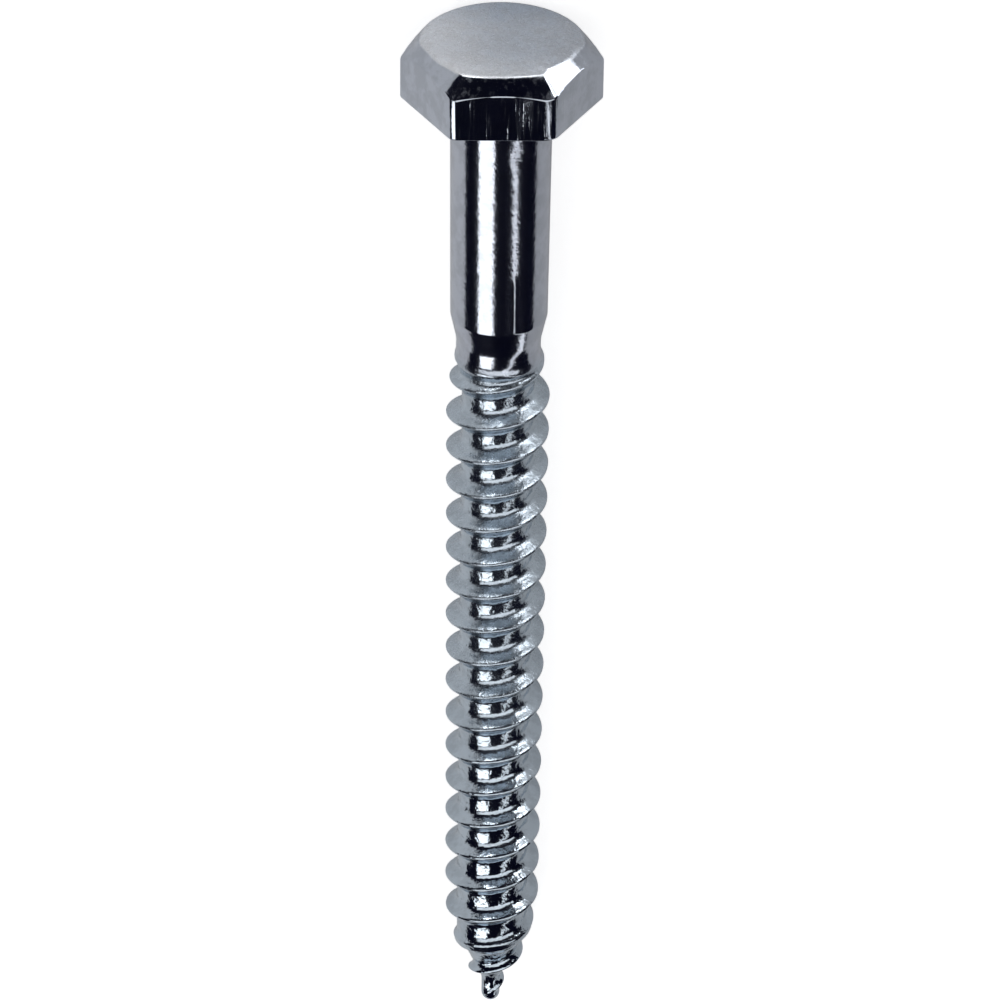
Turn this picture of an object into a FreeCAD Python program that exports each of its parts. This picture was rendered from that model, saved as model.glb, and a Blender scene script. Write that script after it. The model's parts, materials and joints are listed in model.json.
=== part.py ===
"""Hex head lag screw, lying on its side the way it comes to rest on a floor.

The screw is one forged and rolled piece: a hex head with a chamfered crown, a plain shank, a
slightly thinner neck, and a coarse right-hand wood thread that runs out into a gimlet point.

It is modelled along its own axis first: the bearing face under the head is z = 0, the crown is
above it, and s, counted down from the bearing face, is the distance toward the point. At the end
it is laid down, head toward +Y and point toward -Y, on one of its flats and one thread crest.
"""
import FreeCAD
import Part

import math
import os

# Whole screw, in millimetres
length = 68.4
pitch = 2.54

# Hex head: the crown is flat inside crown_radius, and its rim falls in three bands to the corners
across_flats = 10.8
head_height = 4.05
crown_radius = 4.62
rim_radius = 5.08
rim_height = 3.84
shoulder_radius = 5.42
shoulder_height = 3.28
corner_height = 2.74
corner_rounding = 0.3

# Shank and neck
under_head_cone = 0.3
shank_radius = 3.08
shank_end = 15.2
neck_radius = 2.64
neck_start = 17.0
neck_end = 18.2

# Thread: radii of the core and the crest, and the section of the ridge
root_radius = 2.2
root_start = 20.2
crest_radius_full = 3.387
crest_taper = 0.0052
crest_half_land = 0.17
upper_flank_slope = 0.55
lower_flank_slope = 0.75
ridge_bury = 0.2
thread_start = 16.9
thread_full = 21.25
thread_end = 67.9
run_in_power = 1.3
crest_pass = 23.764
points_per_turn = 12

# Gimlet point
point_start = 62.5
point_slope = 0.485
point_rounding = 0.45
core_cone_start = 61.8
core_cone_slope = 0.28
tip_length = 0.5


def crest_radius(s):
    """Radius over the thread crest: it climbs out of the neck, narrows a little, then points."""
    full = crest_radius_full - crest_taper * s
    if s < thread_full:
        climb = max(0.0, (s - thread_start) / (thread_full - thread_start)) ** run_in_power
        return neck_radius + (full - neck_radius) * climb
    into_point = s - point_start
    return full - point_slope * 0.5 * (into_point + math.hypot(into_point, point_rounding))


def core_radius(s):
    """Radius of the core between the ridges: neck, then root, then the cone of the point."""
    if s < root_start:
        sink = min(1.0, max(0.0, (s - neck_end) / (root_start - neck_end)))
        return neck_radius - (neck_radius - root_radius) * sink
    return root_radius - core_cone_slope * max(0.0, s - core_cone_start)


def ridge_corners(s):
    """Section of the ridge at s, as (radius, offset along the axis), from head side to point side."""
    crest = crest_radius(s)
    foot = max(0.05, core_radius(s) - ridge_bury)
    return [(foot, -crest_half_land - upper_flank_slope * (crest - foot)),
            (crest, -crest_half_land),
            (crest, crest_half_land),
            (foot, crest_half_land + lower_flank_slope * (crest - foot))]


def on_helix(s, radius, offset):
    """Point of the right-hand helix whose crest passes +X at s = crest_pass."""
    turn = 2 * math.pi * (crest_pass - s) / pitch
    return FreeCAD.Vector(radius * math.cos(turn), radius * math.sin(turn), -s - offset)


def rail(stations, corner):
    """Smooth curve through one corner of the ridge section, cut into one edge for each turn."""
    curve = Part.BSplineCurve()
    curve.interpolate([on_helix(s, *ridge_corners(s)[corner]) for s in stations])
    knots = curve.getKnots()
    last = len(stations) - 1
    edges = []
    for first in range(0, last, points_per_turn):
        turn = curve.copy()
        turn.segment(knots[first], knots[min(first + points_per_turn, last)])
        edges.append(turn.toShape())
    return edges


def thread_ridge():
    """The ridge of the thread as one solid, its foot buried in the core."""
    step = pitch / points_per_turn
    stations = [thread_start + step * i for i in range(round((thread_end - thread_start) / step) + 1)]
    rails = [rail(stations, corner) for corner in range(len(ridge_corners(thread_full)))]
    faces = [Part.makeRuledSurface(one, other)
             for rail_a, rail_b in zip(rails, rails[1:] + rails[:1])
             for one, other in zip(rail_a, rail_b)]
    for s in (stations[0], stations[-1]):
        outline = [on_helix(s, *corner) for corner in ridge_corners(s)]
        faces.append(Part.Face(Part.makePolygon(outline + outline[:1])))
    shell = Part.makeShell(faces)
    shell.sewShape()
    ridge = Part.makeSolid(shell)
    if ridge.Volume < 0:
        ridge.reverse()
    return ridge


def turned(points, closing_curves=()):
    """Solid turned about the axis from a profile of (radius, z) points and any curves at its end."""
    corners = [FreeCAD.Vector(radius, 0, z) for radius, z in points]
    edges = [Part.makeLine(one, other) for one, other in zip(corners, corners[1:])]
    edges += [curve.toShape() for curve in closing_curves]
    profile = Part.Face(Part.Wire(edges))
    return profile.revolve(FreeCAD.Vector(0, 0, 0), FreeCAD.Vector(0, 0, 1), 360)


def head():
    """Hex prism with rounded corners, cut to the turned crown."""
    corner = across_flats / math.sqrt(3)
    hexagon = [FreeCAD.Vector(corner * math.cos(math.radians(60 * i)),
                              corner * math.sin(math.radians(60 * i)), 0) for i in range(7)]
    prism = Part.Face(Part.makePolygon(hexagon)).extrude(FreeCAD.Vector(0, 0, head_height))
    uprights = [edge for edge in prism.Edges if abs(edge.tangentAt(0).z) > 0.9]
    prism = prism.makeFillet(corner_rounding, uprights)
    chamfer_slope = (shoulder_height - corner_height) / (corner - shoulder_radius)
    outside = corner + 1
    crown = turned([(0, 0), (0, head_height), (crown_radius, head_height), (rim_radius, rim_height),
                    (shoulder_radius, shoulder_height), (outside, corner_height - chamfer_slope),
                    (outside, 0), (0, 0)])
    return prism.common(crown)


def shank():
    """Plain shank, and the small cone that joins it to the head."""
    return turned([(0, 0), (shank_radius + under_head_cone, 0), (shank_radius, -under_head_cone),
                   (shank_radius, -shank_end), (0, -shank_end), (0, 0)])


def core():
    """Shoulder below the shank, neck, root of the thread and the cone of the point."""
    cone_end = length - tip_length
    cone_end_radius = core_radius(cone_end)
    diagonal = math.cos(math.radians(45))
    tip = Part.Arc(FreeCAD.Vector(cone_end_radius, 0, -cone_end),
                   FreeCAD.Vector(cone_end_radius * diagonal, 0, -cone_end - tip_length * diagonal),
                   FreeCAD.Vector(0, 0, -length))
    return turned([(0, -length), (0, -shank_end), (shank_radius, -shank_end),
                   (neck_radius, -neck_start), (neck_radius, -neck_end), (root_radius, -root_start),
                   (root_radius, -core_cone_start), (cone_end_radius, -cone_end)], [tip])


def rest_tilt():
    """Slope, in degrees, of the line from the bottom flat's edge to the crest that it rests on."""
    first_pass = crest_pass - pitch / 4
    passes = [first_pass + pitch * n for n in range(int((length - first_pass) / pitch))]
    return math.degrees(min(math.atan((across_flats / 2 - crest_radius(s)) / (s + crest_half_land))
                            for s in passes))


def lag_screw():
    """The whole screw as one solid, laid down with the middle of its footprint at the origin."""
    screw = core().fuse(thread_ridge()).fuse(shank()).fuse(head()).removeSplitter()
    screw.rotate(FreeCAD.Vector(0, 0, 0), FreeCAD.Vector(1, 0, 0), rest_tilt() - 90)
    box = screw.optimalBoundingBox()
    screw.translate(FreeCAD.Vector(-box.Center.x, -box.Center.y, -box.ZMin))
    return screw


os.makedirs("parts", exist_ok=True)
lag_screw().exportStep("parts/lag_screw.step")
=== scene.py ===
"""Zinc plated lag screw: hex head, plain shank, neck, coarse wood thread and gimlet point.

The screw is built along its own axis first, in millimetres: z = 0 is the bearing face under the
head, the crown is above it, and s, counted down from the bearing face, runs toward the point. Its
own -y side is the one that faces the camera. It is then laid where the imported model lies.
"""

import json
import logging
import math
from collections.abc import Sequence
from dataclasses import dataclass, field
from enum import Enum

import bmesh
import bpy
import numpy as np
from mathutils import Matrix, Vector

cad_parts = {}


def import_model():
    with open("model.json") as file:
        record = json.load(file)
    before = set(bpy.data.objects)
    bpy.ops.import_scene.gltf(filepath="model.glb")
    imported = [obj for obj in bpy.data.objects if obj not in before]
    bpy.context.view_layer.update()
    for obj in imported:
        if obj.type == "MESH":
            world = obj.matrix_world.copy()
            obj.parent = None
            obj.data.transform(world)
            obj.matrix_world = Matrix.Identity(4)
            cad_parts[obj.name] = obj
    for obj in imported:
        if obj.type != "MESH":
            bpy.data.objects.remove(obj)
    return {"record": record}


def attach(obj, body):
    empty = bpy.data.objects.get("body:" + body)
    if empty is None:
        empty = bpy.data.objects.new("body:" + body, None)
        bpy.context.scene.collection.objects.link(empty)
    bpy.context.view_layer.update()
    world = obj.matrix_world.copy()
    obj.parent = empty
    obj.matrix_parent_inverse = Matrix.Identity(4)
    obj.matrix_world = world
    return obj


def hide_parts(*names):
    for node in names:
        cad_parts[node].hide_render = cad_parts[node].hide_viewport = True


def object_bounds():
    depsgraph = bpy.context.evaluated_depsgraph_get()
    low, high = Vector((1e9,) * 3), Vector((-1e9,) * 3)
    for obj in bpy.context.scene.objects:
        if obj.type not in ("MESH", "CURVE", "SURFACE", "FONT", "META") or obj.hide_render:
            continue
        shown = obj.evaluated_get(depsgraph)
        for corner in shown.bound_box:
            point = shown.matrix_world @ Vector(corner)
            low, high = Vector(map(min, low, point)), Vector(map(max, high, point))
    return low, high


log = logging.getLogger("lag_screw")

NODE = "lag_screw"
BODY = "root"
MILLIMETRE = 0.001
WELD = 1e-4
PITCH = 2.54
COLUMNS = 144

# The record gives the shank by its middle, which is this far from the bearing face
SHANK_MIDDLE = 7.75

# The crest passes the +x side here, and the thread's strip is joined to the shank a whole number of
# columns before that, so that the vertices of both meet.
CREST_PASS = 23.764
JOINT_COLUMNS = 535
JOINT = CREST_PASS + PITCH / 2 - JOINT_COLUMNS * PITCH / COLUMNS


# Node expressions


class Value:
    """A socket in a node tree that Python expressions turn into Math nodes."""

    def __init__(self, bench: "NodeBench", socket: bpy.types.NodeSocket) -> None:
        """Hold the socket and the bench that adds nodes for it."""
        self.bench = bench
        self.socket = socket

    def __add__(self, other: "Value | float") -> "Value":
        """Sum."""
        return self.bench.math("ADD", self, other)

    def __radd__(self, other: "Value | float") -> "Value":
        """Sum, number first."""
        return self.bench.math("ADD", other, self)

    def __sub__(self, other: "Value | float") -> "Value":
        """Difference."""
        return self.bench.math("SUBTRACT", self, other)

    def __rsub__(self, other: "Value | float") -> "Value":
        """Difference, number first."""
        return self.bench.math("SUBTRACT", other, self)

    def __mul__(self, other: "Value | float") -> "Value":
        """Product."""
        return self.bench.math("MULTIPLY", self, other)

    def __rmul__(self, other: "Value | float") -> "Value":
        """Product, number first."""
        return self.bench.math("MULTIPLY", other, self)

    def __truediv__(self, other: "Value | float") -> "Value":
        """Quotient."""
        return self.bench.math("DIVIDE", self, other)

    def __pow__(self, other: "Value | float") -> "Value":
        """Power."""
        return self.bench.math("POWER", self, other)


class NodeBench:
    """Adds nodes to one tree, of a material or of Geometry Nodes."""

    def __init__(self, tree: bpy.types.NodeTree) -> None:
        """Hold the tree."""
        self.tree = tree

    def node(self, kind: str, settings: dict | None = None, inputs: dict | None = None) -> bpy.types.Node:
        """Add one node.

        Args:
            kind: the node's type name.
            settings: what is set on the node itself, before its sockets.
            inputs: a value, a Value or a socket for each input, by name or by number.

        Returns:
            The node.
        """
        made = self.tree.nodes.new(kind)
        for name, setting in (settings or {}).items():
            setattr(made, name, setting)
        for key, given in (inputs or {}).items():
            given = given.socket if isinstance(given, Value) else given
            if isinstance(given, bpy.types.NodeSocket):
                self.tree.links.new(given, made.inputs[key])
            else:
                made.inputs[key].default_value = given
        return made

    def out(self, node: bpy.types.Node, name: str | int = 0) -> Value:
        """One output of a node as a Value."""
        return Value(self, node.outputs[name])

    def math(self, operation: str, *terms: "Value | float") -> Value:
        """One Math node on the terms."""
        return self.out(self.node("ShaderNodeMath", {"operation": operation}, dict(enumerate(terms))))

    def ramp(self, value: Value, start: float, end: float, low: float = 0.0, high: float = 1.0) -> Value:
        """Smooth step of a value.

        Args:
            value: what is stepped.
            start: where the step begins.
            end: where the step ends.
            low: result at the start.
            high: result at the end.

        Returns:
            The stepped value.
        """
        step = self.node("ShaderNodeMapRange", {"interpolation_type": "SMOOTHSTEP"},
                         {"Value": value, "From Min": start, "From Max": end,
                          "To Min": low, "To Max": high})
        return self.out(step, "Result")

    def vector(self, operation: str, *terms: object) -> bpy.types.NodeSocket:
        """Vector output of one Vector Math node on the terms."""
        made = self.node("ShaderNodeVectorMath", {"operation": operation}, dict(enumerate(terms)))
        return made.outputs["Vector"]

    def dot(self, one: object, other: object) -> Value:
        """Dot product of two vectors."""
        made = self.node("ShaderNodeVectorMath", {"operation": "DOT_PRODUCT"}, {0: one, 1: other})
        return self.out(made, "Value")

    def noise(self, where: object, scale: float, detail: float = 2.0, rough: float = 0.5) -> Value:
        """Noise texture at a position.

        Args:
            where: the position.
            scale: how fine the noise is.
            detail: how many finer layers it has.
            rough: how strong the finer layers are.

        Returns:
            A value between 0 and 1.
        """
        made = self.node("ShaderNodeTexNoise", None,
                         {"Vector": where, "Scale": scale, "Detail": detail, "Roughness": rough})
        return self.out(made, 0)

    def join(self, x: "Value | float", y: "Value | float", z: "Value | float") -> bpy.types.NodeSocket:
        """Vector with the three parts."""
        return self.node("ShaderNodeCombineXYZ", None, {0: x, 1: y, 2: z}).outputs[0]

    def mix_colour(self, share: "Value | float", one: object, other: object,
                   blend: str = "MIX") -> bpy.types.NodeSocket:
        """Blend from one colour to the other by a share.

        Args:
            share: how much of the other colour there is.
            one: the first colour.
            other: the other colour.
            blend: how the other colour is laid on.

        Returns:
            The blended colour.
        """
        made = self.node("ShaderNodeMix", {"data_type": "RGBA", "blend_type": blend},
                         {0: share, 6: one, 7: other})
        return made.outputs[2]


# Where the screw lies


@dataclass(frozen=True)
class Placement:
    """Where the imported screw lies: the middle of its bearing face and the way to its point."""

    bearing: Vector
    to_point: Vector

    @classmethod
    def of_record(cls, record: dict) -> "Placement":
        """Placement from the record's mounts.

        Args:
            record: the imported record.

        Returns:
            The placement, with the bearing face found from the middle of the shank.
        """
        shank = next(m for m in record["mounts"] if m["name"] == "shank")
        to_point = Vector(shank["axis"]).normalized()
        return cls(Vector(shank["pos_m"]) - to_point * (SHANK_MIDDLE * MILLIMETRE), to_point)

    def turn(self) -> Matrix:
        """Rotation from the screw's own axes to the lying screw's.

        Returns:
            The rotation, as a 3 by 3 matrix.
        """
        up_axis = -self.to_point
        side = Vector((1.0, 0.0, 0.0))
        return Matrix((side, up_axis.cross(side), up_axis)).transposed()

    def matrix(self) -> Matrix:
        """From own millimetres to metres in the frame."""
        return Matrix.Translation(self.bearing) @ self.turn().to_4x4() @ Matrix.Scale(MILLIMETRE, 4)


# Finish


class Zone(Enum):
    """Zones of the screw whose plating looks different."""

    SHANK = "shank"
    SIDES = "sides of the head"
    CROWN = "crown"
    THREAD = "thread"


class Pattern(Enum):
    """Noise patterns of the plating, each with its scale, detail and roughness."""

    MOTTLE = (0.9, 3.0, 0.6)
    GRAIN = (4.5, 2.0, 0.6)
    HAMMER = (1.7, 2.0, 0.5)
    SHEAR = (2.4, 2.0, 0.6)


@dataclass(frozen=True)
class Polish:
    """Colour and roughness of the plating in one zone, and the z where it starts and is whole."""

    colour: tuple[float, float, float, float]
    roughness: float
    begins: tuple[float, float]


@dataclass(frozen=True)
class ZincPlate:
    """Bright zinc plating with a cool cast: mirror-like on the shank, satin on the crown and thread."""

    shank: Polish = Polish((0.54, 0.575, 0.65, 1.0), 0.13, (0.0, 0.0))
    zones: dict[Zone, Polish] = field(default_factory=lambda: {
        Zone.SIDES: Polish((0.54, 0.58, 0.655, 1.0), 0.1, (-0.1, 0.0)),
        Zone.CROWN: Polish((0.54, 0.60, 0.69, 1.0), 0.26, (3.8, 3.9)),
        Zone.THREAD: Polish((0.55, 0.625, 0.70, 1.0), 0.28, (-17.6, -19.0))})

    # Painted reflection on the crown: a bright patch painted in for the lit floor it mirrors, with painted
    # shade on the far side and a random mottle: its base, where it grows to the left and near side and fades
    # on the far side, as (start, end, share at start, share at end), and how much it is mottled
    painted_sheen_colour: tuple[float, float, float, float] = (0.92, 0.94, 0.98, 1.0)
    painted_sheen_base: float = 0.3
    painted_sheen_left: tuple[float, ...] = (1.0, -4.5, 0.0, 0.45)
    painted_sheen_near: tuple[float, ...] = (-1.0, -4.6, 0.0, 0.3)
    painted_sheen_far: tuple[float, ...] = (1.0, 4.6, 0.0, 0.3)
    painted_sheen_mottle: float = 0.9

    # Duller cloudy patches
    dull_colour: tuple[float, float, float, float] = (0.86, 0.86, 0.86, 1.0)
    dull_blend: float = 0.75
    dull_range: tuple[float, float] = (0.42, 0.6)

    # Roughness: smoother in the root and toward the point, varied by the grain, rougher in streaks
    root_roughness: float = 0.18
    root_reach: tuple[float, float] = (2.4, 2.3)
    bright_length: tuple[float, float] = (-38.0, -58.0)
    bright_share: float = 0.45
    grain_base: float = 0.75
    grain_swing: float = 0.5
    streak_range: tuple[float, float] = (0.5, 0.62)
    streak_roughness: float = 0.1

    # Relief: hammered skin, grain, lines drawn along the sides of the head, a crease on the shank
    hammer_height: float = 0.008
    thread_hammer_height: float = 0.045
    grain_height: float = 0.01
    head_grain_loss: float = 0.008
    thread_grain_gain: float = 0.006
    shear_stretch: float = 0.08
    shear_height: float = 0.007
    line_range: tuple[float, float] = (0.54, 0.66)
    line_breaks: tuple[float, float] = (0.3, 0.6)
    line_height: float = 0.009
    lines_top: tuple[float, float] = (2.95, 2.5)
    crease_start: tuple[float, float] = (-10.9, -11.6)
    crease_end: tuple[float, float] = (-15.3, -15.1)
    crease_side: tuple[float, float] = (0.0, -1.0)
    crease_place: float = 0.93
    crease_reach: float = 0.2
    crease_height: float = 0.03

    def material(self, placement: Placement) -> bpy.types.Material:
        """Make the plating.

        Args:
            placement: where the screw lies, so that the pattern follows its axis.

        Returns:
            The material.
        """
        made = bpy.data.materials.new("zinc_plate")
        made.use_nodes = True
        made.node_tree.nodes.clear()
        bench = NodeBench(made.node_tree)
        place = bench.node("ShaderNodeTexCoord").outputs["Object"]
        turn = placement.turn()
        from_bearing = bench.vector("SUBTRACT", place, tuple(placement.bearing))
        own = [bench.dot(from_bearing, tuple(turn.col[axis])) * (1 / MILLIMETRE) for axis in range(3)]
        evenly = bench.join(*own)
        drawn = bench.join(own[0], own[1], own[2] * self.shear_stretch)
        patterns = {pattern: bench.noise(drawn if pattern is Pattern.SHEAR else evenly, *pattern.value)
                    for pattern in Pattern}
        shares = {zone: bench.ramp(own[2], *polish.begins) for zone, polish in self.zones.items()}
        colour = self.colour(bench, own, shares, patterns)
        roughness = self.roughness(bench, own, shares, patterns)
        bump = bench.node("ShaderNodeBump", None, {"Strength": 1.0, "Distance": MILLIMETRE,
                                                   "Height": self.relief(bench, own, shares, patterns)})
        skin = bench.node("ShaderNodeBsdfPrincipled", None,
                          {"Base Color": colour, "Metallic": 1.0, "Roughness": roughness,
                           "Normal": bump.outputs[0]})
        bench.node("ShaderNodeOutputMaterial", None, {"Surface": skin.outputs[0]})
        return made

    def colour(self, bench: NodeBench, own: list[Value], shares: dict[Zone, Value],
               patterns: dict[Pattern, Value]) -> bpy.types.NodeSocket:
        """Colour over the whole screw.

        Args:
            bench: where the nodes are added.
            own: position along the screw's own axes, in millimetres.
            shares: share of each zone.
            patterns: the noise patterns.

        Returns:
            The colour.
        """
        colour = self.shank.colour
        for zone, polish in self.zones.items():
            colour = bench.mix_colour(shares[zone], colour, polish.colour)
        # Painted reflection and shade on the crown: lighter to the left and near side, darker on the far
        # side, plus a random mottle
        painted_sheen = (self.painted_sheen_base + bench.ramp(own[0], *self.painted_sheen_left)
                  + bench.ramp(own[1], *self.painted_sheen_near) - bench.ramp(own[1], *self.painted_sheen_far)
                  + (patterns[Pattern.MOTTLE] - 0.5) * self.painted_sheen_mottle)
        colour = bench.mix_colour(shares[Zone.CROWN] * bench.math("MAXIMUM", painted_sheen, 0.0), colour,
                                  self.painted_sheen_colour)
        cloudy = patterns[Pattern.MOTTLE] * self.dull_blend + patterns[Pattern.GRAIN] * (1 - self.dull_blend)
        return bench.mix_colour(bench.ramp(cloudy, *self.dull_range), colour, self.dull_colour, "MULTIPLY")

    def roughness(self, bench: NodeBench, own: list[Value], shares: dict[Zone, Value],
                  patterns: dict[Pattern, Value]) -> Value:
        """Roughness over the whole screw.

        Args:
            bench: where the nodes are added.
            own: position along the screw's own axes, in millimetres.
            shares: share of each zone.
            patterns: the noise patterns.

        Returns:
            The roughness.
        """
        roughness = self.shank.roughness
        for zone, polish in self.zones.items():
            roughness = shares[zone] * (polish.roughness - roughness) + roughness
        from_axis = bench.math("SQRT", own[0] * own[0] + own[1] * own[1])
        in_root = shares[Zone.THREAD] * bench.ramp(from_axis, *self.root_reach)
        roughness = roughness + in_root * (self.root_roughness - self.zones[Zone.THREAD].roughness)
        roughness = roughness * (1.0 - bench.ramp(own[2], *self.bright_length) * self.bright_share)
        streaks = shares[Zone.SIDES] * bench.ramp(patterns[Pattern.SHEAR], *self.streak_range)
        return (roughness * (self.grain_base + patterns[Pattern.GRAIN] * self.grain_swing)
                + streaks * self.streak_roughness)

    def relief(self, bench: NodeBench, own: list[Value], shares: dict[Zone, Value],
               patterns: dict[Pattern, Value]) -> Value:
        """Height of the fine relief, in millimetres.

        Args:
            bench: where the nodes are added.
            own: position along the screw's own axes, in millimetres.
            shares: share of each zone.
            patterns: the noise patterns.

        Returns:
            The height.
        """
        hammer = self.hammer_height + shares[Zone.THREAD] * self.thread_hammer_height
        grain = (self.grain_height - shares[Zone.SIDES] * self.head_grain_loss
                 + shares[Zone.THREAD] * self.thread_grain_gain)
        lines = (bench.ramp(patterns[Pattern.SHEAR], *self.line_range)
                 * bench.ramp(patterns[Pattern.GRAIN], *self.line_breaks))
        drawn = lines * self.line_height + patterns[Pattern.SHEAR] * self.shear_height
        on_sides = shares[Zone.SIDES] * bench.ramp(own[2], *self.lines_top)
        off_crease = (own[0] - self.crease_place) * (1 / self.crease_reach)
        crease = (bench.math("EXPONENT", off_crease * off_crease * -1.0)
                  * bench.ramp(own[1], *self.crease_side)
                  * bench.ramp(own[2], *self.crease_start) * bench.ramp(own[2], *self.crease_end))
        return (patterns[Pattern.HAMMER] * hammer + patterns[Pattern.GRAIN] * grain
                + on_sides * drawn + crease * self.crease_height)


# Hex head


def tube_faces(rows: int, columns: int) -> list[tuple[int, ...]]:
    """Quads between the rings of a tube.

    Args:
        rows: how many rings there are.
        columns: how many points each ring has.

    Returns:
        The faces, as point numbers.
    """
    return [(row * columns + k, (row + 1) * columns + k,
             (row + 1) * columns + (k + 1) % columns, row * columns + (k + 1) % columns)
            for row in range(rows - 1) for k in range(columns)]


@dataclass
class HexHead:
    """Forged hex head: crown, its falling rim, six side faces and the bearing face."""

    across_flats: float = 10.8
    height: float = 4.05

    # (radius, z) of the crown's edge and the falls outside it: at the sides and back, at the two near
    # corners, and over the near side, where the die struck deepest
    side_rim: tuple[tuple[float, float], ...] = (
        (4.62, 4.05), (5.08, 3.84), (5.42, 3.38), (5.75, 3.1), (6.235, 2.74))
    corner_rim: tuple[tuple[float, float], ...] = (
        (4.5, 4.02), (4.95, 3.69), (5.4, 3.34), (5.75, 3.07), (6.235, 2.7))
    front_rim: tuple[tuple[float, float], ...] = (
        (4.5, 3.92), (4.95, 3.5), (5.4, 3.08), (5.75, 2.76), (6.235, 2.32))

    # Degrees from the near side over which one fall blends into the next
    right_bounds: tuple[float, float] = (30.0, 37.0)
    left_bounds: tuple[float, float] = (25.0, 44.0)
    side_bounds: tuple[float, float] = (68.0, 90.0)
    front_flatness: float = 0.5

    corner_rounding: float = 0.3
    left_rounding: float = 0.6
    right_rounding: float = 1.1
    edge_rounding: float = 0.14
    edge_share: float = 0.45
    corner_gap: float = 0.02
    columns: int = 2 * COLUMNS
    corner_crowding: float = 0.12
    arc_rows: int = 6
    crown_rings: tuple[float, ...] = (0.15, 0.4, 0.6, 0.75, 0.85, 0.93)

    def side_radius(self, angle: np.ndarray) -> np.ndarray:
        """Distance of the side from the axis, with rounded corners.

        Args:
            angle: angles about the axis, in radians.

        Returns:
            The radius for each angle.
        """
        apothem = self.across_flats / 2
        corner = np.round(angle / (math.pi / 3)).astype(int) % 6
        off_corner = np.abs(np.mod(angle + math.pi / 6, math.pi / 3) - math.pi / 6)
        rounding = np.choose(corner, [self.corner_rounding] * 4 + [self.left_rounding, self.right_rounding])
        flat = apothem / np.cos(math.pi / 6 - off_corner)
        centre = (apothem - rounding) / math.cos(math.pi / 6)
        inside = np.maximum(rounding ** 2 - (centre * np.sin(off_corner)) ** 2, 0.0)
        touch = np.arctan2(rounding * math.sin(math.pi / 6), centre + rounding * math.cos(math.pi / 6))
        return np.where(off_corner < touch, centre * np.cos(off_corner) + np.sqrt(inside), flat)

    def falling_rim(self, angle: float) -> np.ndarray:
        """Corners of the crown's outline, from its flat outward; the crown falls lowest at the front.

        Args:
            angle: angle about the axis, in radians.

        Returns:
            (radius, z) points.
        """
        from_front = math.degrees(math.remainder(angle + math.pi / 2, 2 * math.pi))
        bounds = self.right_bounds if from_front > 0 else self.left_bounds
        shares = [min(1.0, max(0.0, (abs(from_front) - start) / (end - start)))
                  for start, end in (bounds, self.side_bounds)]
        to_corner, to_side = (share * share * (3 - 2 * share) for share in shares)
        front, corner, side = (np.array(rim) for rim in (self.front_rim, self.corner_rim, self.side_rim))
        turned = math.radians(min(abs(from_front), bounds[1]))
        front[:, 0] /= 1 - self.front_flatness * (1 - math.cos(turned))
        return front + (corner - front) * to_corner + (side - corner) * to_side

    def column_angles(self) -> np.ndarray:
        """Angles of the columns, closer together at the corners of the hexagon.

        Returns:
            Angles about the axis, in radians.
        """
        each = self.columns // 6
        share = np.arange(each) / each
        eased = share - self.corner_crowding * np.sin(2 * math.pi * share)
        return np.concatenate([math.pi / 3 * (n + eased) for n in range(6)])

    def section(self, side: float, angle: float) -> list[tuple[float, float]]:
        """Outline of the head at one angle, from near the axis over the crown to the bearing face.

        Args:
            side: distance of the side face at this angle.
            angle: angle about the axis, in radians.

        Returns:
            (radius, z) points.
        """
        rim = self.falling_rim(angle)
        eave = float(np.interp(side, rim[:, 0], rim[:, 1]))
        corners = [(r, z) for r, z in rim if r < side - self.corner_gap] + [(side, eave), (side, 0.0)]
        while len(corners) < len(rim) + 1:
            corners.insert(-2, ((corners[-3][0] + side) / 2, (corners[-3][1] + eave) / 2))
        points = [(rim[0, 0] * share, self.height - (self.height - rim[0, 1]) * share ** 3)
                  for share in self.crown_rings]
        before = points[-1]
        inward = (side / 2, 0.0)
        for corner, after in zip(corners, corners[1:] + [inward]):
            points += self.rounded(before, corner, after)
            before = corner
        return points

    def rounded(self, before: tuple[float, float], corner: tuple[float, float],
                after: tuple[float, float]) -> list[tuple[float, float]]:
        """Points that round one corner of the outline.

        Args:
            before: the corner before it.
            corner: the corner.
            after: the corner after it.

        Returns:
            Points from one side of the corner to the other.
        """
        at, one, other = (np.array(p) for p in (corner, before, after))
        back, ahead = one - at, other - at
        reach = min(self.edge_rounding, *(self.edge_share * np.linalg.norm(way) for way in (back, ahead)))
        start = at + back / np.linalg.norm(back) * reach
        end = at + ahead / np.linalg.norm(ahead) * reach
        shares = np.linspace(0, 1, self.arc_rows)
        return [tuple((1 - t) ** 2 * start + 2 * t * (1 - t) * at + t ** 2 * end) for t in shares]

    def build(self, inner_ring: np.ndarray) -> tuple[np.ndarray, list[tuple[int, ...]]]:
        """Mesh of the head, open where the shank joins it.

        Args:
            inner_ring: (x, y) of the ring where the shank meets the bearing face, one for every
                second column.

        Returns:
            Points and faces.
        """
        angles = self.column_angles()
        outlines = [self.section(side, angle) for side, angle in zip(self.side_radius(angles), angles)]
        rows, count = len(outlines[0]), self.columns
        points = [(r * math.cos(a), r * math.sin(a), z)
                  for row in range(rows) for a, (r, z) in zip(angles, (o[row] for o in outlines))]
        faces = tube_faces(rows, count)
        middle = len(points)
        points.append((0.0, 0.0, self.height))
        faces += [(middle, k, (k + 1) % count) for k in range(count)]
        ring = len(points)
        points += [(x, y, 0.0) for x, y in inner_ring]
        last = (rows - 1) * count
        for k in range(len(inner_ring)):
            near, far = 2 * k, (2 * k + 2) % count
            after = (k + 1) % len(inner_ring)
            faces.append((last + near, ring + k, last + near + 1))
            faces.append((last + near + 1, ring + k, ring + after, last + far))
        return np.array(points), faces


# Shank


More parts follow.
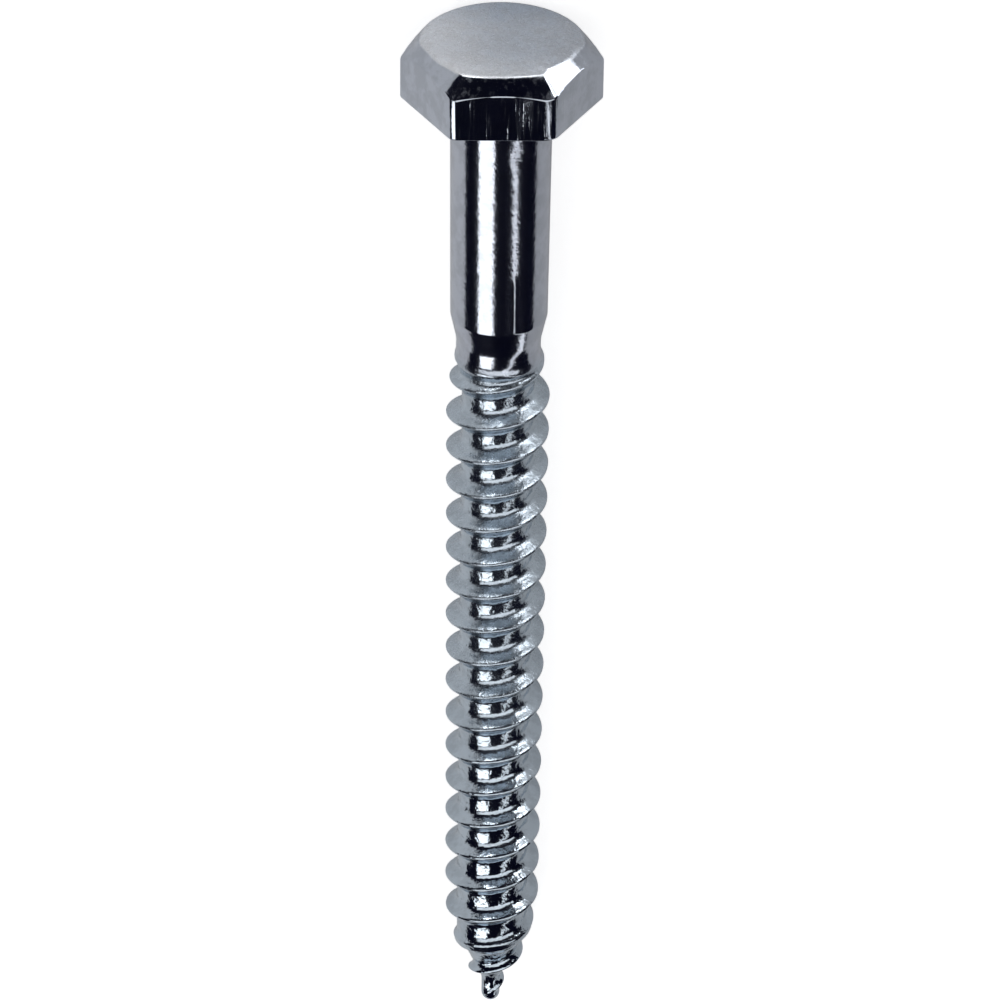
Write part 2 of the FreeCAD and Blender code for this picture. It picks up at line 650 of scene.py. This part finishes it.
@dataclass(frozen=True)
class Shoulder:
    """Cone from the end of the shank down to the neck."""

    shank_end: float = 15.2
    shank_radius: float = 3.03
    neck_start: float = 17.0
    neck_radius: float = 2.64

    def radius(self, s: "Value | float") -> "Value | float":
        """Radius of the cone, or of its straight continuation, at s."""
        fall = (s - self.shank_end) / (self.neck_start - self.shank_end)
        return self.shank_radius - (self.shank_radius - self.neck_radius) * fall


@dataclass
class Shank:
    """Plain shank from the bearing face to the middle of the shoulder, as rings."""

    shoulder: Shoulder = field(default_factory=Shoulder)
    radius_top: float = 3.14
    join: float = 0.3

    # Small forging dimple: angle about the axis, place, reach around and along, depth
    mark_angle: float = -72.7
    dimple_at: float = 2.4
    dimple_reach: tuple[float, float] = (0.5, 0.8)
    dimple_depth: float = 0.036

    # Rings: at the joint with the head, around the dimple, down the plain length, at the edge, below it
    join_rings: int = 6
    body_rings: int = 27
    dimple_span: tuple[float, float] = (0.5, 4.6)
    plain_start: float = 4.9
    edge_lead: float = 0.25
    edge_half: float = 0.12
    edge_rings: int = 7
    shoulder_lead: float = 0.22
    shoulder_rings: int = 3

    def radius(self, s: float, angles: np.ndarray) -> np.ndarray:
        """Radius of the shank.

        Args:
            s: distance from the bearing face.
            angles: angles about the axis, in radians.

        Returns:
            The radius for each angle, with the small forging dimple at the front.
        """
        end = self.shoulder.shank_end
        if s > end:
            return np.full(angles.shape, self.shoulder.radius(s))
        body = self.radius_top + (self.shoulder.shank_radius - self.radius_top) * s / end
        flare = max(self.join - s, 0.0) ** 2 / self.join
        across = ((angles - math.radians(self.mark_angle) + math.pi) % (2 * math.pi) - math.pi) * body
        away = (across / self.dimple_reach[0]) ** 2 + ((s - self.dimple_at) / self.dimple_reach[1]) ** 2
        return body + flare - self.dimple_depth * np.exp(-away)

    def stations(self) -> np.ndarray:
        """Distances of the rings, close together at the joint with the head and at the edge.

        Returns:
            Distances from the bearing face, down to the joint with the thread.
        """
        end = self.shoulder.shank_end
        return np.concatenate([np.linspace(0, self.join, self.join_rings),
                               np.linspace(*self.dimple_span, self.body_rings),
                               np.linspace(self.plain_start, end - self.edge_lead, self.body_rings),
                               np.linspace(end - self.edge_half, end + self.edge_half, self.edge_rings),
                               np.linspace(end + self.shoulder_lead, JOINT, self.shoulder_rings)])

    def ring(self, s: float) -> np.ndarray:
        """Points of one ring.

        Args:
            s: distance from the bearing face.

        Returns:
            (x, y) points.
        """
        angles = 2 * math.pi * np.arange(COLUMNS) / COLUMNS
        radius = self.radius(s, angles)
        return np.stack([radius * np.cos(angles), radius * np.sin(angles)], -1)

    def build(self) -> tuple[np.ndarray, list[tuple[int, ...]]]:
        """Mesh of the shank, open at both ends.

        Returns:
            Points and faces.
        """
        stations = self.stations()
        points = [np.column_stack([self.ring(s), np.full(COLUMNS, -s)]) for s in stations]
        return np.concatenate(points), tube_faces(len(stations), COLUMNS)


# Wood thread


@dataclass
class WoodThread:
    """Neck, coarse thread and gimlet point as one helical strip whose turns are welded together."""

    # Strip: turns around the screw, rows across one pitch, how far the rows crowd to the ridge
    length: float = 68.4
    turns: int = 22
    rows: int = 22
    row_crowding: float = 0.06

    # Core: neck with its collar, root, cone and the pin at the point
    shoulder: Shoulder = field(default_factory=Shoulder)
    neck_round: float = 0.1
    neck_end: float = 18.2
    collar_at: float = 18.4
    collar_swell: float = 0.12
    collar_half: float = 0.3
    root_radius: float = 2.28
    root_start: float = 20.2
    core_cone: float = 62.6
    core_slope: float = 0.43
    pin_radius: float = 0.62
    pin_round: float = 0.15
    tip_round: float = 0.6

    # Crest: it rises out of the neck, narrows a little, then falls to the point
    crest_full: float = 3.387
    crest_taper: float = 0.0052
    thread_start: float = 17.3
    thread_full: float = 21.25
    buried: tuple[float, ...] = (17.0, 18.1, 0.45, 0.0)
    point_start: float = 62.5
    point_slope: float = 0.485
    point_round: float = 0.45

    # Section of the ridge, on its head side and its point side
    upper_land: float = 0.05
    lower_land: float = 0.12
    upper_slope: float = 0.46
    lower_slope: float = 0.75
    upper_foot_round: float = 0.9
    lower_foot_round: float = 0.5
    crest_round: float = 0.28

    # Unevenness of the rolled surface: depth, and the scale, detail and roughness of its noise
    wave: float = 0.035
    wave_noise: tuple[float, float, float] = (0.9, 2.0, 0.5)
    wave_radius: float = 3.0

    def tree(self) -> bpy.types.NodeTree:
        """Geometry Nodes tree of the strip.

        Returns:
            The tree, with named inputs for the sizes that drive it.
        """
        tree = bpy.data.node_groups.new("wood_thread", "GeometryNodeTree")
        tree.is_modifier = True
        face = tree.interface
        face.new_socket("Geometry", in_out="OUTPUT", socket_type="NodeSocketGeometry")
        face.new_socket("Geometry", in_out="INPUT", socket_type="NodeSocketGeometry")
        for name, kind in (("Turns", "NodeSocketInt"), ("Columns", "NodeSocketInt"),
                           ("Rows", "NodeSocketInt"), ("Pitch", "NodeSocketFloat"),
                           ("Length", "NodeSocketFloat"), ("Top", "NodeSocketFloat"),
                           ("Crest", "NodeSocketFloat"), ("Root", "NodeSocketFloat"),
                           ("Finish", "NodeSocketMaterial")):
            face.new_socket(name, in_out="INPUT", socket_type=kind)
        bench = NodeBench(tree)
        given = bench.node("NodeGroupInput")
        size = {name: bench.out(given, name) for name in ("Turns", "Columns", "Rows", "Pitch",
                                                           "Length", "Top", "Crest", "Root")}
        grid = bench.node("GeometryNodeMeshGrid", None,
                          {"Size X": 1.0, "Size Y": 1.0,
                           "Vertices X": size["Turns"] * size["Columns"] + 1.0,
                           "Vertices Y": size["Rows"] + 1.0})
        spot = bench.node("ShaderNodeSeparateXYZ", None,
                          {0: bench.node("GeometryNodeInputPosition").outputs[0]})
        turn = (bench.out(spot, 0) + 0.5) * size["Turns"]
        across = bench.out(spot, 1)
        eased = across - bench.math("SINE", across * (2 * math.pi)) * self.row_crowding
        offset = eased * size["Pitch"]
        centre = size["Top"] - size["Pitch"] * 0.5 + turn * size["Pitch"]
        s = bench.math("MINIMUM", bench.math("MAXIMUM", centre + offset, size["Top"]), size["Length"])
        angle = (CREST_PASS - centre) * (2 * math.pi) / size["Pitch"]
        ahead, aside = bench.math("COSINE", angle), bench.math("SINE", angle)
        on_ridge = bench.join(ahead * self.wave_radius, aside * self.wave_radius, s)
        uneven = bench.noise(on_ridge, *self.wave_noise) * bench.ramp(s, self.neck_end, self.root_start)
        radius = self.radius(bench, s, centre, offset, size, uneven * self.wave)
        place = bench.join(radius * ahead, radius * aside, s * -1.0)
        moved = bench.node("GeometryNodeSetPosition", None,
                           {"Geometry": grid.outputs["Mesh"], "Position": place})
        welded = bench.node("GeometryNodeMergeByDistance", None,
                            {"Geometry": moved.outputs[0], "Distance": WELD})
        real = bench.node("GeometryNodeRealizeInstances", None, {"Geometry": welded.outputs[0]})
        dressed = bench.node("GeometryNodeSetMaterial", None,
                             {"Geometry": real.outputs[0], "Material": given.outputs["Finish"]})
        bench.node("NodeGroupOutput", None, {"Geometry": dressed.outputs[0]})
        return tree

    def radius(self, bench: NodeBench, s: Value, centre: Value, offset: Value,
               size: dict[str, Value], dent: Value) -> Value:
        """Radius of the strip.

        Args:
            bench: where the nodes are added.
            s: distance from the bearing face.
            centre: distance of the ridge's middle.
            offset: distance from the ridge's middle along the axis.
            size: the tree's inputs.
            dent: how far the rolled surface lies below the plain form.

        Returns:
            The radius.
        """
        full = size["Crest"] - s * self.crest_taper
        climb = bench.math("MINIMUM", bench.math("MAXIMUM", (s - self.thread_start)
                                                 / (self.thread_full - self.thread_start), 0.0), 1.0)
        neck_radius = self.shoulder.neck_radius
        run_in = neck_radius + (full - neck_radius) * climb - bench.ramp(s, *self.buried)
        into = s - self.point_start
        bend = bench.math("SQRT", into * into + self.point_round ** 2)
        crest = run_in - (into + bend) * (0.5 * self.point_slope)
        upper = crest - (-1.0 * offset - self.upper_land) / self.upper_slope
        lower = crest - (offset - self.lower_land) / self.lower_slope
        sink = bench.ramp(s, self.neck_end, self.root_start)
        from_collar = (s - self.collar_at) * (1 / self.collar_half)
        collar = bench.math("EXPONENT", from_collar * from_collar * -1.0) * self.collar_swell
        neck = neck_radius - (neck_radius - size["Root"]) * sink + collar
        root = bench.math("SMOOTH_MAX", neck, self.shoulder.radius(s), self.neck_round)
        cone = bench.math("MAXIMUM", s - self.core_cone, 0.0) * self.core_slope
        root = bench.math("SMOOTH_MAX", root - cone, self.pin_radius, self.pin_round)
        upper_side, lower_side = (
            bench.math("SMOOTH_MAX", bench.math("SMOOTH_MIN", flank, crest, self.crest_round), root, foot)
            for flank, foot in ((upper, self.upper_foot_round), (lower, self.lower_foot_round)))
        body = bench.math("MINIMUM", upper_side, lower_side) - dent
        to_end = bench.math("MAXIMUM", size["Length"] - s, 0.0)
        in_tip = bench.math("MINIMUM", to_end, self.tip_round)
        dome = bench.math("SQRT", to_end * (2 * self.tip_round) - in_tip * in_tip)
        return bench.math("MINIMUM", body, dome)

    def mesh(self, finish: bpy.types.Material) -> bpy.types.Mesh:
        """Plain mesh of the strip, open where it joins the shank.

        Args:
            finish: the plating.

        Returns:
            The mesh, in own millimetres.
        """
        carrier = bpy.data.objects.new("thread_carrier", bpy.data.meshes.new("thread_carrier"))
        bpy.context.scene.collection.objects.link(carrier)
        work = carrier.modifiers.new("wood_thread", "NODES")
        work.node_group = self.tree()
        values = {"Turns": self.turns, "Columns": COLUMNS, "Rows": self.rows, "Pitch": PITCH,
                  "Length": self.length, "Top": JOINT, "Crest": self.crest_full,
                  "Root": self.root_radius, "Finish": finish}
        for item in work.node_group.interface.items_tree:
            if item.in_out == "INPUT" and item.name in values:
                work[item.identifier] = values[item.name]
        depsgraph = bpy.context.evaluated_depsgraph_get()
        made = bpy.data.meshes.new_from_object(carrier.evaluated_get(depsgraph))
        carrier.modifiers.remove(work)
        bpy.data.objects.remove(carrier)
        return made


# The whole screw


@dataclass
class LagScrew:
    """The whole screw as one closed, plated piece."""

    head: HexHead = field(default_factory=HexHead)
    shank: Shank = field(default_factory=Shank)
    thread: WoodThread = field(default_factory=WoodThread)
    finish: ZincPlate = field(default_factory=ZincPlate)

    def build(self, placement: Placement) -> bpy.types.Object:
        """Build, join and lay down the screw.

        Args:
            placement: where it lies.

        Returns:
            The finished piece.
        """
        plate = self.finish.material(placement)
        mesh = self.thread.mesh(plate)
        joined = bmesh.new()
        joined.from_mesh(mesh)
        for points, faces in (self.shank.build(), self.head.build(self.shank.ring(0.0))):
            corners = [joined.verts.new(p) for p in points]
            for face in faces:
                joined.faces.new([corners[i] for i in face])
        bmesh.ops.remove_doubles(joined, verts=joined.verts, dist=WELD)
        bmesh.ops.dissolve_degenerate(joined, edges=joined.edges, dist=WELD)
        bmesh.ops.recalc_face_normals(joined, faces=joined.faces)
        open_edges = sum(1 for edge in joined.edges if not edge.is_manifold)
        for face in joined.faces:
            face.smooth = True
            face.material_index = 0
        joined.transform(placement.matrix())
        mesh.materials.clear()
        mesh.materials.append(plate)
        joined.to_mesh(mesh)
        joined.free()
        piece = bpy.data.objects.new("zinc_screw", mesh)
        bpy.context.scene.collection.objects.link(piece)
        triangles = sum(len(polygon.vertices) - 2 for polygon in mesh.polygons)
        log.info("zinc_screw: %d triangles, %d open edges", triangles, open_edges)
        return piece


# Studio


@dataclass(frozen=True)
class Softbox:
    """Rectangular lamp: its way from the screw, its long side, its angles in degrees, its brightness."""

    name: str
    toward: tuple[float, float, float]
    long_way: tuple[float, float, float]
    width: float
    length: float
    radiance: float

    def place(self, distance: float) -> None:
        """Put the lamp at a distance, facing the screw.

        Args:
            distance: how far it stands from the screw, in metres.
        """
        size = [2 * distance * math.tan(math.radians(angle / 2)) for angle in (self.width, self.length)]
        back = Vector(self.toward).normalized()
        side = Vector(self.long_way).cross(back).normalized()
        facing = Matrix((side, back.cross(side), back)).transposed()
        add_panel(self.name, size, self.radiance, Matrix.Translation(back * distance) @ facing.to_4x4())


def add_panel(name: str, size: Sequence[float], radiance: float, place: Matrix) -> bpy.types.Object:
    """Add a rectangular area lamp.

    Args:
        name: name of the lamp.
        size: width and length, in metres.
        radiance: how bright it looks.
        place: where it stands and how it is turned.

    Returns:
        The lamp.
    """
    lamp = bpy.data.lights.new(name, "AREA")
    lamp.shape = "RECTANGLE"
    lamp.size, lamp.size_y = size
    lamp.energy = radiance * math.pi * lamp.size * lamp.size_y
    panel = bpy.data.objects.new(name, lamp)
    panel.matrix_world = place
    bpy.context.scene.collection.objects.link(panel)
    return panel


@dataclass
class Studio:
    """White floor, dim room, softboxes and the camera."""

    # Floor: half its side, its colour, its glow to the camera, its glow in the metal at the left and
    # at the right, where it drops as painted shade, and the half width over which one becomes the other
    floor_half: float = 3.0
    floor_colour: tuple[float, float, float, float] = (0.8, 0.8, 0.8, 1.0)
    floor_glow: float = 0.7
    mirror_glow: tuple[float, float] = (0.14, 0.0)
    painted_shade_fade: float = 0.012

    # Room: white to the camera, and dim to everything else, dimmer still above this rise
    white: tuple[float, float, float, float] = (1.0, 1.0, 1.0, 1.0)
    room_colour: tuple[float, float, float, float] = (0.004, 0.0045, 0.014, 1.0)
    room_fade: tuple[float, ...] = (0.0, 0.3, 1.0, 0.7)

    lamp_distance: float = 1.2
    softboxes: tuple[Softbox, ...] = (
        Softbox("left_softbox", (-0.470, -0.542, 0.697), (0.0, 1.0, 0.0), 31, 22, 2.1),
        Softbox("right_strip", (0.510, -0.570, 0.643), (0.326, -0.564, -0.759), 6, 76, 1.35),
        Softbox("overhead_strip", (0.0, 0.23, 1.0), (1.0, 0.0, 0.0), 50, 104, 1.1),
        Softbox("low_left_softbox", (-0.24, 0.966, 0.087), (0.966, 0.24, 0.0), 8, 14, 9.0),
        Softbox("low_right_softbox", (0.5, 0.86, 0.12), (0.86, -0.5, 0.0), 11, 16, 5.0))

    # Panel on the floor past the head: size, place from the end of the head, turn, brightness
    panel_size: tuple[float, float] = (0.045, 0.15)
    panel_offset: tuple[float, float, float] = (0.058, 0.068, 0.001)
    panel_turn: float = -36.9
    panel_radiance: float = 2.2

    # Camera, about the screw's own axes: angles in degrees, lengths in millimetres
    camera_distance: float = 437.69
    camera_rise: float = 32.79
    camera_side: float = 0.839
    camera_roll: float = 0.72
    camera_yaw: float = 0.0284
    target_down: float = 29.172
    focal_pixels: float = 6925.0
    frame_pixels: float = 1000.0
    sensor_width: float = 36.0
    nearest: float = 0.01

    def floor_strength(self, bench: NodeBench) -> Value:
        """Glow of the floor: bright to the camera, faint in metal and glass, with painted shade at the
        right.

        Args:
            bench: where the nodes are added.

        Returns:
            How strongly the floor glows.
        """
        path = bench.node("ShaderNodeLightPath")
        place = bench.node("ShaderNodeSeparateXYZ", None,
                           {0: bench.node("ShaderNodeTexCoord").outputs["Object"]})
        mirrored = bench.math("MAXIMUM", bench.out(path, "Is Glossy Ray"),
                              bench.out(path, "Is Transmission Ray"))
        # Painted shade: the floor as the metal sees it is darker at the right
        shaded = bench.ramp(bench.out(place, 0), -self.painted_shade_fade, self.painted_shade_fade, *self.mirror_glow)
        return bench.math("MAXIMUM", bench.out(path, "Is Camera Ray") * self.floor_glow, mirrored * shaded)

    def floor(self) -> bpy.types.Object:
        """White floor that keeps the screw's shadow.

        Returns:
            The floor.
        """
        mesh = bpy.data.meshes.new("floor")
        reach = self.floor_half
        mesh.from_pydata([(-reach, -reach, 0), (reach, -reach, 0), (reach, reach, 0), (-reach, reach, 0)],
                         [], [(0, 1, 2, 3)])
        paper = bpy.data.materials.new("white_paper")
        paper.use_nodes = True
        paper.node_tree.nodes.clear()
        bench = NodeBench(paper.node_tree)
        lit = bench.node("ShaderNodeBsdfDiffuse", None, {"Color": self.floor_colour})
        glow = bench.node("ShaderNodeEmission", None,
                          {"Color": self.white, "Strength": self.floor_strength(bench)})
        both = bench.node("ShaderNodeAddShader", None, {0: lit.outputs[0], 1: glow.outputs[0]})
        bench.node("ShaderNodeOutputMaterial", None, {"Surface": both.outputs[0]})
        mesh.materials.append(paper)
        floor = bpy.data.objects.new("floor", mesh)
        bpy.context.scene.collection.objects.link(floor)
        return floor

    def room(self) -> None:
        """Room around the stage: white to the camera, dim to everything else and dimmest overhead."""
        world = bpy.data.worlds.new("room")
        world.use_nodes = True
        world.node_tree.nodes.clear()
        bench = NodeBench(world.node_tree)
        way = bench.node("ShaderNodeTexCoord").outputs["Generated"]
        level = bench.ramp(bench.dot(way, (0.0, 0.0, 1.0)), *self.room_fade)
        path = bench.node("ShaderNodeLightPath")
        dim = bench.node("ShaderNodeBackground", None, {"Color": self.room_colour, "Strength": level})
        white = bench.node("ShaderNodeBackground", None, {"Color": self.white, "Strength": 1.0})
        mixed = bench.node("ShaderNodeMixShader", None,
                           {0: path.outputs["Is Camera Ray"], 1: dim.outputs[0], 2: white.outputs[0]})
        bench.node("ShaderNodeOutputWorld", None, {"Surface": mixed.outputs[0]})
        bpy.context.scene.world = world

    def lights(self, head_end: float) -> None:
        """Softboxes around the screw, and a panel on the floor that lights the chamfer at the right.

        Args:
            head_end: how far the head reaches along Y.
        """
        for softbox in self.softboxes:
            softbox.place(self.lamp_distance)
        aside, ahead, rise = self.panel_offset
        place = (Matrix.Translation((aside, head_end + ahead, rise))
                 @ Matrix.Rotation(math.radians(self.panel_turn), 4, "Z") @ Matrix.Rotation(math.pi, 4, "X"))
        add_panel("low_panel", self.panel_size, self.panel_radiance, place).visible_camera = False

    def camera(self, placement: Placement) -> None:
        """Camera at the photograph's viewing angle, from the head's end and above.

        Args:
            placement: where the screw lies.
        """
        rise, side, roll = (math.radians(a) for a in (self.camera_rise, self.camera_side, self.camera_roll))
        away = Vector((-math.cos(rise) * math.sin(side), -math.cos(rise) * math.cos(side), math.sin(rise)))
        right = Vector((math.cos(side), -math.sin(side), 0.0))
        up = away.cross(right)
        stand = away * self.camera_distance + Vector((0.0, 0.0, -self.target_down))
        yaw = math.radians(self.camera_yaw)
        away, right = (away * math.cos(yaw) - right * math.sin(yaw),
                       right * math.cos(yaw) + away * math.sin(yaw))
        rolled_right = right * math.cos(roll) + up * math.sin(roll)
        rolled_up = up * math.cos(roll) - right * math.sin(roll)
        data = bpy.data.cameras.new("camera")
        data.sensor_width = self.sensor_width
        data.lens = self.focal_pixels / self.frame_pixels * self.sensor_width
        data.clip_start = self.nearest
        camera = bpy.data.objects.new("camera", data)
        own = Matrix((rolled_right, rolled_up, away)).transposed()
        camera.matrix_world = (Matrix.Translation(placement.matrix() @ stand)
                               @ (placement.turn() @ own).to_4x4())
        bpy.context.scene.collection.objects.link(camera)
        bpy.context.scene.camera = camera


def main() -> None:
    """Load the frame, build the screw and the studio, attach the screw to its body and hide the imported
    part.
    """
    logging.basicConfig(level=logging.INFO, format="%(message)s")
    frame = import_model()
    cad_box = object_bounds()
    scene = bpy.context.scene
    scene.view_settings.view_transform = "Standard"
    placement = Placement.of_record(frame["record"])
    screw = LagScrew().build(placement)
    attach(screw, BODY)
    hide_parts(NODE)
    studio = Studio()
    studio.floor()
    studio.room()
    studio.lights(cad_box[1][1])
    studio.camera(placement)


if __name__ == "__main__":
    main()
